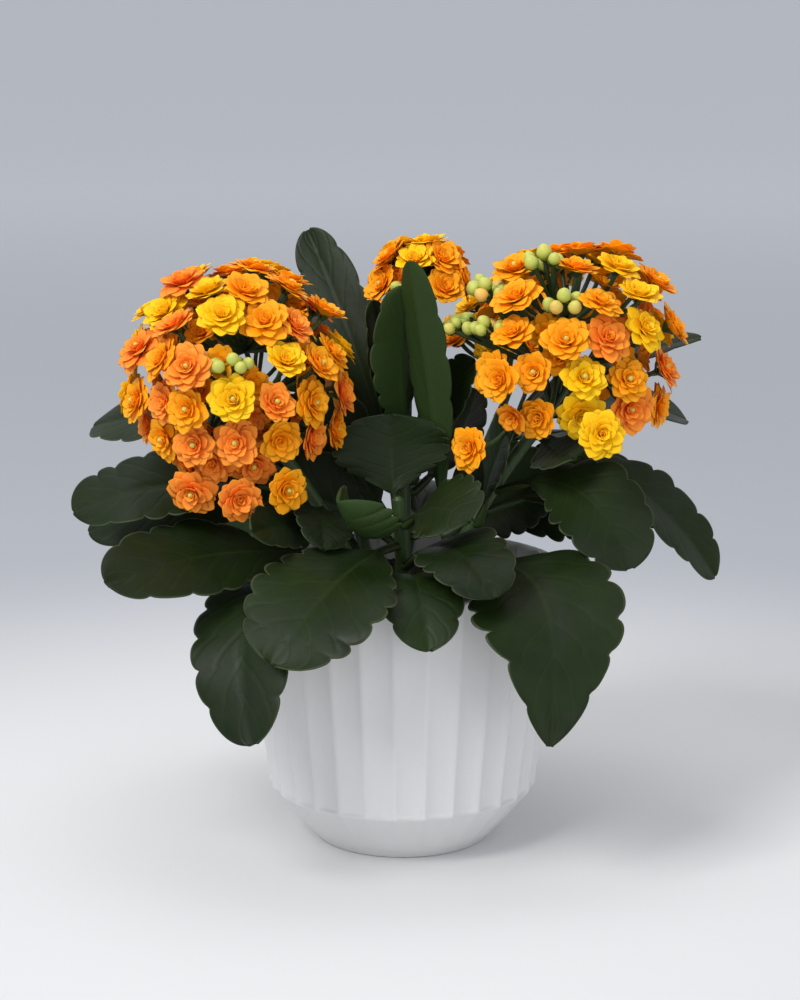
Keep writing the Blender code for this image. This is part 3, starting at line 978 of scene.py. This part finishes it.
    def surface(self, index: int) -> tuple[list, list, dict]:
        """Points, faces and stored numbers of the closed blade.

        Args:
            index: the leaf's number, from which its small irregularities follow.

        Returns:
            Points in millimetres, faces, and the numbers for the material.
        """
        rng = random.Random(SEED * 100 + index)
        ts = self.stations()
        even = np.linspace(-1, 1, self.columns + 1)
        across = np.sin(even * math.pi / 2) * 0.5 + even * 0.5
        mid, normal = self.middle(ts, across, rng)
        points, numbers = [], {"along": [], "across": [], "underside": [], "young": []}
        young = 1.0 if self.cupped else rng.uniform(0.0, 0.5)
        for i, t in enumerate(ts):
            stalk = 1 - smooth(t, self.petiole * 0.55, self.petiole + 0.1)
            for under in (0, 1):
                for j, a in enumerate(across if not under else across[::-1]):
                    column = j if not under else len(across) - 1 - j
                    thick = self.blade / 2 * (1 - 0.72 * abs(a) ** 5) * 0.85
                    thick += stalk * (1.7 * math.sqrt(max(1 - a * a, 0.0)) + 0.2 - thick)
                    if under:
                        thick += (1 - stalk) * 0.75 * (1 - t) * math.exp(-(a / 0.07) ** 2)
                    points.append(mid[i, column] + normal[i, column]
                                  * thick * (-1 if under else 1))
                    numbers["along"].append(t)
                    numbers["across"].append(a)
                    numbers["underside"].append(float(under))
                    numbers["young"].append(young)
        ring, count = 2 * len(across), len(across)
        faces = [(i * ring + k, i * ring + (k + 1) % ring,
                  (i + 1) * ring + (k + 1) % ring, (i + 1) * ring + k)
                 for i in range(len(ts) - 1) for k in range(ring)]
        for base in (0, (len(ts) - 1) * ring):
            faces += [(base + j, base + j + 1, base + ring - 2 - j, base + ring - 1 - j)
                      for j in range(count - 1)]
        return points, faces, numbers

    def build(self, name: str, material: bpy.types.Material) -> bpy.types.Object:
        """Make and dress the leaf that stands for a node."""
        points, faces, numbers = self.surface(int(name[-2:]))
        thing = make_object(name.replace("leaf", "blade"), points, faces)
        for key, values in numbers.items():
            put_numbers(thing.data, key, values)
        bm = bmesh.new()
        bm.from_mesh(thing.data)
        bmesh.ops.recalc_face_normals(bm, faces=bm.faces)
        bm.to_mesh(thing.data)
        bm.free()
        return dress(thing, material, Slot.LEAF, name)


LEAVES = {
    "leaf_01": Leaf("stem_left", 0.70, (-136, -30, 147.5), 8, 0, 45, -25, 4, 1.1),
    "leaf_02": Leaf("stem_left", 0.82, (-136, 44, 170), 12, 0, 40, -24, 4, 1.1),
    "leaf_03": Leaf("stem_left", 0.50, (-134, 2, 132), 10, 0, 34, -36, -6, 1.1),
    "leaf_04": Leaf("stem_left", 0.30, (-118, -73, 128), 6, 0, 43, -33, 4, 1.0),
    "leaf_05": Leaf("stem_left", 0.12, (-59, -93, 67), 30, -16, 48, 4, 4, 1.0),
    "leaf_06": Leaf("stem_front", 0.62, (-52, -95, 101), 12, 6, 60, -14, 4, 1.0),
    "leaf_07": Leaf("stem_front", 0.85, (-25, -66, 160), -10, 0, 34, -20, 26, 1.1),
    "leaf_08": Leaf("stem_front", 0.90, (-5, -11, 185), -3, 0, 50, -10, 4, 1.2),
    "leaf_09": Leaf("stem_centre", 0.55, (0, -3, 238), -3, 0, 40, 60, 10, 1.1),
    "leaf_10": Leaf("stem_centre", 0.60, (-13, 4, 231), 0, 0, 24, -66, 4, 1.1),
    "leaf_11": Leaf("stem_centre", 0.46, (-42, 62, 255), 4, 0, 28, -50, 6, 1.1),
    "leaf_12": Leaf("stem_back_left", 0.46, (-64, 38, 238), 6, 0, 20, -60, 6, 1.1),
    "leaf_13": Leaf("stem_right", 0.24, (3, -16, 250), 2, 0, 21, 16, 14, 1.2),
    "leaf_14": Leaf("stem_centre", 0.50, (30, 2, 206), 4, 0, 26, 60, 6, 1.1),
    "leaf_15": Leaf("stem_back_right", 0.60, (66, 24, 192), 4, 0, 34, 20, 6, 1.1),
    "leaf_16": Leaf("stem_right", 0.60, (93, -45, 127), 18, 0, 42, 34, 6, 1.0),
    "leaf_17": Leaf("stem_right", 0.14, (58, -93, 66), 36, 10, 65, 12, 6, 0.85),
    "leaf_18": Leaf("stem_right", 0.48, (114, 14, 138), 10, 0, 44, 38, 8, 1.1),
    "leaf_19": Leaf("stem_right", 0.90, (134, 4, 112), 8, 0, 34, 38, 12, 1.1),
    "leaf_20": Leaf("stem_back_right", 0.90, (130, 42, 210), 6, 0, 26, 14, 6, 1.0),
    "leaf_21": Leaf("stem_centre", 0.45, (32, 24, 190), -4, 0, 40, 10, 6, 1.1),
    "leaf_22": Leaf("stem_front", 0.20, (10, -88, 104), 18, 0, 36, 4, 8, 1.1),
    "leaf_23": Leaf("stem_left", 0.40, (-60, -67, 147), 4, 0, 23, -52, 8, 1.1),
    "leaf_24": Leaf("stem_left", 0.58, (-32, -56, 138), 6, 0, 26, -20, 6, 1.1),
    "leaf_25": Leaf("stem_front", 0.45, (36, -82, 124), 14, 0, 38, 16, 6, 1.1),
    "leaf_26": Leaf("stem_right", 0.92, (70, -38, 172), -2, 0, 28, 30, 8, 1.1),
    "leaf_27": Leaf("stem_front", 0.80, (27, -59, 150), 6, 0, 36, 40, 8, 1.1),
    "leaf_28": Leaf("stem_back_left", 0.26, (-112, 76, 128), 20, 0, 52, -8, 6, 1.0),
    "leaf_29": Leaf("stem_back_left", 0.16, (-70, 110, 94), 34, 0, 54, 4, 6, 1.0),
    "leaf_30": Leaf("stem_centre", 0.16, (26, 126, 94), 34, 0, 54, 0, 6, 1.0),
    "leaf_31": Leaf("stem_back_right", 0.34, (116, 78, 126), 20, 0, 52, 8, 6, 1.0),
    "leaf_32": Leaf("stem_back_right", 0.72, (86, 108, 146), 12, 0, 42, 0, 6, 1.1),
    "leaf_33": Leaf("stem_centre", 0.34, (-14, 116, 158), 14, 0, 40, 0, 6, 1.1),
    "leaf_34": Leaf("stem_back_right", 0.80, (128, 70, 168), 14, 0, 42, 14, 6, 1.1),
    "leaf_35": Leaf("stem_centre", 0.30, (-50, 27, 184), 4, 0, 44, -76, 6, 1.1),
    "leaf_36": Leaf("stem_right", 0.42, (46, -24, 188), 2, 0, 28, 70, 6, 1.1),
    "leaf_37": Leaf("stem_back_right", 0.30, (96, 31, 150), 4, 0, 46, 66, 6, 1.1),
    "leaf_38": Leaf("stem_centre", 0.24, (-66, 10, 150), 6, 0, 42, -78, 6, 1.1),
    "leaf_39": Leaf("stem_centre", 0.27, (66, 20, 150), 6, 0, 42, 76, 6, 1.1),
}


# ------------------------------------------------------------------ flower heads
@dataclass
class Place:
    """Where a bloom or a bud stands on its head."""

    code: Code
    spot: Array
    axis: Array
    tint: float = 0.5
    size: float = 1.0
    openness: float = 1.0


@dataclass
class Rosettes:
    """Double blooms: thin pointed petals set spirally from a cupped outside to a curled heart."""

    petals: int = 36
    outer: int = 9
    length: float = 10.3
    width: float = 4.1
    thickness: float = 0.16
    drop: float = 2.4
    flare: float = 64.0
    curl: float = 36.0
    heart_flare: float = 4.0
    heart_uncurl: float = 54.0
    segments: int = 8
    rings: int = 7

    def tree(self, name: str, material: bpy.types.Material) -> bpy.types.NodeTree:
        """Petals for every point, each laid along its own bent line."""
        g = Grower(name, {"Petals": self.petals, "Length": self.length * MM,
                          "Width": self.width * MM, "Thickness": self.thickness * MM,
                          "Drop": self.drop * MM, "Flare": self.flare, "Curl": self.curl})
        many = g.node("GeometryNodeDuplicateElements", {"domain": "POINT"},
                      {"Geometry": g.given.outputs[0], "Amount": g.size("Petals")})
        turn = Val(g, many.outputs["Duplicate Index"])
        layer = ((turn - self.outer) / (g.size("Petals") - self.outer).at_least(1.0)).clamp()
        points = store(g, many.outputs[0], layer=layer, spot=g.position(),
                       turn=turn * GOLDEN_ANGLE + g.random(-0.2, 0.2, SEED),
                       stretch=g.random(0.9, 1.08, SEED + 1),
                       lean=g.random(-7.0, 7.0, SEED + 2),
                       wave=g.random(0.0, 6.3, SEED + 3))
        body = g.spread(points, g.ball(self.segments, self.rings))
        x, y, z = named(g, "form", "FLOAT_VECTOR").split()
        layer, opened = named(g, "layer"), named(g, "openness")
        along = (z + 1) / 2
        rim = (x * x + y * y).root().at_least(0.02)
        shape = (along ** 0.66) * (1 - along ** 3.6).at_least(0.0) * 1.62
        reach = named(g, "size") * named(g, "stretch")
        length = g.size("Length") * reach * (1 - layer * 0.62)
        wide = x / rim * shape * g.size("Width") * reach * (1 - layer * 0.6)
        thick = y / rim * shape * g.size("Thickness")
        flare = g.size("Flare") - layer * (g.size("Flare") - self.heart_flare)
        base = (flare + named(g, "lean")) * opened
        bend = (g.size("Curl") - layer * self.heart_uncurl) * opened
        base, bend = base * (math.pi / 180), bend * (math.pi / 180)
        lean = base + bend * along
        middle = base + bend * along * 0.5
        out = 0.0007 * (1 - layer * 0.6) + length * along * middle.sin()
        rise = length * along * middle.cos()
        cup = wide * wide * (12 + layer * 130) + shape * 0.00035 * (
            along * 7 + named(g, "wave")).sin()
        cup = cup + thick
        axis = named(g, "axis", "FLOAT_VECTOR")
        first, second = g.frame_of(axis)
        around = named(g, "turn")
        outwards = first * around.cos() + second * around.sin()
        beside = second * around.cos() - first * around.sin()
        place = (named(g, "spot", "FLOAT_VECTOR") - axis * g.size("Drop")
                 + outwards * (out - cup * lean.cos()) + beside * wide
                 + axis * (rise + cup * lean.sin()))
        body = store(g, body, along=along)
        return g.close(g.moved(body, place), material)


@dataclass
class Buds:
    """Round closed buds, slightly four-sided, with a blunt tip."""

    radius: float = 3.4
    segments: int = 16
    rings: int = 10

    def tree(self, name: str, material: bpy.types.Material) -> bpy.types.NodeTree:
        """A bud on every point."""
        g = Grower(name, {"Radius": self.radius * MM, "Tip": 0.10, "Quarters": 0.035})
        points = store(g, g.given.outputs[0], spot=g.position())
        body = g.spread(points, g.ball(self.segments, self.rings))
        x, y, z = named(g, "form", "FLOAT_VECTOR").split()
        quarters = 1 - g.size("Quarters") * (y.turn(x) * 4).cos().abs() * (z + 1).clamp()
        size = g.size("Radius") * named(g, "size")
        swell = 1 - z * 0.08
        tall = z + g.size("Tip") * z.at_least(0.0) ** 6
        axis = named(g, "axis", "FLOAT_VECTOR")
        first, second = g.frame_of(axis)
        place = (named(g, "spot", "FLOAT_VECTOR") + first * (x * size * quarters * swell)
                 + second * (y * size * quarters * swell) + axis * (tall * size * 1.05))
        body = store(g, body, along=(z + 1) / 2)
        return g.close(g.moved(body, place), material)


SEPALS = Rosettes(petals=4, outer=3, length=5.2, width=1.7, thickness=0.35, drop=1.2,
                  flare=30.0, curl=20.0, segments=8, rings=6)


@dataclass
class FlowerHead:
    """Dome of blooms and buds on a branching stalk."""

    stem: str
    centre: tuple
    radii: tuple
    rings: tuple
    strays: tuple
    tilt: float = 0.26
    heart_share: float = 0.45
    cluster_buds: int = 6
    bloom_foot: float = 3.6
    bud_foot: float = 3.0

    def places(self, name: str) -> list[Place]:
        """Every bloom and bud group of the head."""
        centre, radii = np.array(self.centre, float), np.array(self.radii, float)
        rng = random.Random(SEED + len(name) * 31 + ord(name[-1]))
        found = []
        for elevation, first, step, codes in self.rings:
            for k, code in enumerate(codes):
                azimuth = first + step * k + rng.uniform(-4, 4)
                direction = heading(azimuth, elevation + rng.uniform(-4, 4))
                spot = centre + direction * radii * rng.uniform(0.95, 1.04)
                if code != "-":
                    found.append(Place(Code(code), spot,
                                       unit(direction + np.array([0, 0, 0.45]))))
        for code, spot in self.strays:
            spot = np.array(spot, float)
            away = unit(spot - centre) + np.array([0, -0.2, 0.6])
            found.append(Place(Code(code), spot, unit(away)))
        return found

    def joints(self) -> tuple[Array, Array, list[Array]]:
        """The stalk's foot, where it forks, and the ends of its branches."""
        stem = STEMS[self.stem]
        centre, radii = np.array(self.centre, float), np.array(self.radii, float)
        root = stem.point(1.0)
        lead = unit(root - stem.point(0.97))
        hub = root + lead * 5.4
        ends = [hub + (centre + heading(60 * k + 15, 10) * radii * 0.42 - hub) * 0.7
                for k in range(6)]
        ends.append(hub + (centre + np.array([0, 0, radii[2] * 0.5]) - hub) * 0.75)
        return root - lead * 2, hub, ends

    def points_of(self, name: str, places: Sequence[Place]) -> bpy.types.Object:
        """Loose points with the numbers that the trees read."""
        thing = make_object(name, [p.spot for p in places])
        put_numbers(thing.data, "axis", [p.axis for p in places])
        put_numbers(thing.data, "tint", [p.tint for p in places])
        put_numbers(thing.data, "size", [p.size for p in places])
        put_numbers(thing.data, "openness", [p.openness for p in places])
        return thing

    def cluster(self, place: Place, rng: random.Random) -> list[Place]:
        """Buds around a raised one in the middle."""
        found = []
        for turn in range(self.cluster_buds):
            azimuth = 360 / (self.cluster_buds - 1) * turn + rng.uniform(0, 30)
            lean = heading(azimuth, 0) * rng.uniform(5.4, 7.0)
            lift = rng.uniform(-3.0, 1.5)
            if turn == self.cluster_buds - 1:
                lean, lift = lean * 0.1, 3.4
            found.append(Place(Code.BUDS, place.spot + lean + place.axis * lift,
                               unit(place.axis + lean * 0.06), rng.uniform(0, 1) ** 2,
                               rng.uniform(0.74, 0.98)))
        return found

    def bloom(self, place: Place, rng: random.Random) -> Place:
        """An open bloom, a little off the regular place in tilt, tint and size."""
        tint = TINTS[place.code] + rng.uniform(-0.1, 0.1)
        tilt = np.array([rng.uniform(-1, 1) for _ in range(3)]) * self.tilt
        return Place(place.code, place.spot, unit(place.axis + tilt), tint,
                     rng.uniform(0.88, 1.06), rng.uniform(0.72, 1.06))

    def grow_on(self, name: str, places: Sequence[Place], shape: Union[Rosettes, Buds],
                material: bpy.types.Material, slot: Slot, node: str, **sizes: float) -> None:
        """Grow a shape on every place and dress the piece.

        Args:
            name: the piece's name.
            places: where the shape stands.
            shape: the maker of its tree.
            material: its finish.
            slot: the record's slot of that finish; not used.
            node: the node that the piece stands for.
            sizes: values of the tree's named inputs.
        """
        tree = shape.tree(name, material)
        dress(grow(self.points_of(name, places), tree, sizes), material, slot, node)

    def build(self, name: str) -> None:
        """Make and dress the head's petals, buds and green parts."""
        rng = random.Random(SEED * 7 + len(name) * 13 + ord(name[-1]))
        blooms, buds, hearts = [], [], []
        root, hub, ends = self.joints()
        stalks = Stalks(name + "_stalks", 7)
        stalks.add([root, hub - (hub - root) * 0.4, hub], 2.7, 2.1)
        served = set()
        for place in self.places(name):
            near = min(range(len(ends)), key=lambda i: np.linalg.norm(ends[i] - place.spot))
            served.add(near)
            if place.code is Code.BUDS:
                for bud in self.cluster(place, rng):
                    buds.append(bud)
                    self.stalk(stalks, ends[near], bud, self.bud_foot * bud.size, 0.8)
            else:
                bloom = self.bloom(place, rng)
                blooms.append(bloom)
                if rng.random() < self.heart_share:
                    hearts.append(Place(Code.BUDS, bloom.spot + bloom.axis * 1.6, bloom.axis,
                                        0.72, 0.34))
                self.stalk(stalks, ends[near], bloom, self.bloom_foot, 0.85)
        for end in (ends[i] for i in sorted(served)):
            stalks.add(arc(hub - (hub - root) * 0.2, (hub + end) / 2 + np.array([0, 0, 3]),
                           end, 8), 1.4, 1.1)
        deep = self.inner(blooms, rng)
        for bloom in deep:
            near = min(ends, key=lambda end: np.linalg.norm(end - bloom.spot))
            self.stalk(stalks, near, bloom, self.bud_foot, 0.8)
        petal = PetalSkin().material()
        self.grow_on(name + "_petals", blooms, Rosettes(), petal, Slot.BLOOM, name,
                     Petals=Rosettes.petals)
        self.grow_on(name + "_inner_petals", deep, Rosettes(petals=20, rings=6), petal,
                     Slot.BLOOM, name, Petals=20)
        self.grow_on(name + "_sepals", self.calyces(blooms, buds), SEPALS,
                     StalkSkin().material(), Slot.STEM, name, Petals=SEPALS.petals)
        self.grow_on(name + "_buds", buds + hearts, Buds(), BudSkin().material(), Slot.BLOOM,
                     name, Radius=Buds.radius * MM)
        stalks.build(name)

    def calyces(self, blooms: Sequence[Place], buds: Sequence[Place]) -> list[Place]:
        """Where the green cups under the blooms and buds stand."""
        found = [Place(b.code, b.spot - b.axis * 3.3, b.axis, 0, b.size) for b in blooms]
        return found + [Place(b.code, b.spot - b.axis * self.bud_foot * b.size, b.axis, 0,
                              b.size * 0.8) for b in buds]

    def inner(self, places: Sequence[Place], rng: random.Random) -> list[Place]:
        """Smaller, less open blooms deeper in the dome, between the outer ones."""
        centre = np.array(self.centre, float)
        found = []
        for place in places[1::2]:
            away = place.spot - centre
            turn = math.radians(rng.uniform(11, 17))
            away = np.array([away[0] * math.cos(turn) - away[1] * math.sin(turn),
                             away[0] * math.sin(turn) + away[1] * math.cos(turn), away[2]])
            spot = centre + away * rng.uniform(0.68, 0.78) + np.array([0, 0, 3.0])
            found.append(Place(Code.ORANGE, spot, unit(away + np.array([0, 0, 12.0])),
                               rng.uniform(0.3, 0.9), rng.uniform(0.72, 0.86), 0.75))
        return found

    def stalk(self, stalks: Stalks, start: Array, flower: Place, foot: float,
              girth: float) -> None:
        """Add a flower stalk that swells into the flower's tube.

        Args:
            stalks: the piece that it belongs to.
            start: where it leaves its branch.
            flower: the bloom or bud that it carries.
            foot: how far under the flower it ends.
            girth: its radius at the start.
        """
        end, axis = flower.spot - flower.axis * foot, flower.axis
        span = float(np.linalg.norm(end - start))
        line = arc(start, end - axis * 0.5 * span, end, 9)
        line.append(end + axis * 1.0)
        stalks.add(line, girth, girth * 1.25)


HEADS = {
    "head_left": FlowerHead("stem_left", (-68, -17, 203), (44, 43, 45), (
        (84, 0, 0, "O"),
        (60, 15, 45, "OYOYPYOO"),
        (37, 0, 29, "OPOYOOYYPYOP"),
        (14, 10, 24, "YPOOYYOYPOPbYOO"),
        (-8, 176, 24, "YOPOYPOPO"),
        (-29, 190, 27, "POPPOPO"),
        (-50, 218, 34, "PPP")), (
        ("P", (-86, -42, 158)), ("P", (-66, -50, 157)), ("O", (-47, -46, 160)))),
    "head_right": FlowerHead("stem_right", (69, -3, 212), (45, 40, 43), (
        (84, 0, 0, "O"),
        (60, 10, 45, "OYOYObOY"),
        (37, 0, 29, "OPOYOYbbObOY"),
        (14, 12, 25, "YPOYOObbbOOPYO"),
        (-9, 222, 26, "OOYOPO"),
        (-30, 246, 32, "OYPO")), (
        ("O", (39, -42, 205)), ("O", (27, -38, 176)), ("Y", (80, -50, 184)))),
    "head_centre": FlowerHead("stem_centre", (8, 34, 233), (19, 18, 20), (
        (86, 0, 0, "Y"),
        (46, 20, 60, "OOYOYO"),
        (8, 30, 45, "YOYOObOO")), ()),
    "head_back_left": FlowerHead("stem_back_left", (-36, 82, 200), (28, 26, 28), (
        (86, 0, 0, "O"),
        (50, 0, 60, "OYOYOO"),
        (12, 0, 40, "OYPOYOOYP")), ()),
    "head_back_right": FlowerHead("stem_back_right", (48, 82, 200), (28, 26, 28), (
        (86, 0, 0, "Y"),
        (50, 30, 60, "YOOYOO"),
        (12, 10, 40, "OYOPYOYOP")), ()),
}


# ------------------------------------------------------------------ studio
@dataclass
class Lamp:
    """Soft square lamp aimed at the plant."""

    name: str
    place: tuple
    size: float
    power: float
    colour: tuple = (1.0, 1.0, 1.0)


@dataclass
class Studio:
    """Plain pale floor, soft light and the camera."""

    camera_place: tuple = (-1.1, -1047.5, 365.1)
    camera_pitch: float = 78.21
    lens: float = 90.72
    floor_half: float = 60.0
    pale: tuple = (0.73, 0.73, 0.73)
    grey: tuple = (0.44, 0.455, 0.485)
    grey_ring: tuple = (0.14, 0.58)
    # far and far_ring: paler floor far off, painted light where the lamps reach less
    far: tuple = (0.72, 0.74, 0.78)
    far_ring: tuple = (0.7, 3.5)
    surround: tuple = (0.93, 0.95, 1.0)
    surround_strength: float = 0.66
    aim: tuple = (0.0, 0.0, 0.14)
    lamps: tuple = (
        Lamp("key_lamp", (-0.9, -1.0, 1.5), 0.8, 23.0),
        Lamp("fill_lamp", (0.8, -1.4, 0.35), 1.2, 5.0),
        Lamp("top_lamp", (0.1, 0.5, 1.7), 1.4, 6.0),
    )

    def floor(self) -> bpy.types.Object:
        """Pale floor that turns to a cool grey round the plant and pales again far off; the pale
        far ring is painted light that makes up for the lamps falling off.
        """
        h = self.floor_half / MM
        thing = make_object("floor", [(-h, -h, 0), (h, -h, 0), (h, h, 0), (-h, h, 0)],
                            [(0, 1, 2, 3)])
        p = Paint("floor_paint")
        x, y, _ = Val(p, p.place).split()
        away = (x * x + y * y).root()
        ground = p.mix(away.ramp(*self.grey_ring), self.pale, self.grey)
        # painted light: the floor pales again far off, where the lamps reach less
        material = p.finish(Base_Color=p.mix(away.ramp(*self.far_ring), ground, self.far),
                            Roughness=0.85, Specular_IOR_Level=0.15)
        thing.data.materials.append(material)
        return thing

    def light(self) -> None:
        """Lamps and an even grey surround."""
        for lamp in self.lamps:
            data = bpy.data.lights.new(lamp.name, "AREA")
            data.size, data.energy, data.color = lamp.size, lamp.power, lamp.colour
            thing = bpy.data.objects.new(lamp.name, data)
            thing.location = lamp.place
            aim = np.array(self.aim) - np.array(lamp.place)
            yaw = math.atan2(aim[1], aim[0]) - math.pi / 2
            tilt = math.atan2(aim[2], math.hypot(aim[0], aim[1])) + math.pi / 2
            thing.rotation_euler = (tilt, 0.0, yaw)
            thing.visible_camera = False
            bpy.context.scene.collection.objects.link(thing)
        world = bpy.data.worlds.new("surround")
        bpy.context.scene.world = world
        world.use_nodes = True
        back = world.node_tree.nodes["Background"]
        back.inputs["Color"].default_value = (*self.surround, 1.0)
        back.inputs["Strength"].default_value = self.surround_strength

    def camera(self) -> None:
        """Camera in front of the plant, looking a little down."""
        data = bpy.data.cameras.new("camera")
        data.lens, data.sensor_width, data.sensor_fit = self.lens, 36.0, "VERTICAL"
        data.sensor_height = 36.0
        data.clip_start, data.clip_end = 0.05, 50.0
        thing = bpy.data.objects.new("camera", data)
        thing.location = tuple(c * MM for c in self.camera_place)
        thing.rotation_euler = (math.radians(self.camera_pitch), 0.0, 0.0)
        bpy.context.scene.collection.objects.link(thing)
        bpy.context.scene.camera = thing

    def build(self) -> None:
        """Set up floor, light, camera and plain colour handling."""
        self.floor()
        self.light()
        self.camera()
        bpy.context.scene.view_settings.view_transform = "Standard"


def main() -> None:
    """Build every piece in order."""
    logging.basicConfig(level=logging.INFO, format="%(message)s")
    Studio().build()
    FlutedPot().build()
    PottingSoil().build()
    MainStems().build()
    skin = LeafSkin().material()
    for name, leaf in LEAVES.items():
        leaf.build(name, skin)
    for name, head in HEADS.items():
        head.build(name)


if __name__ == "__main__":
    main()
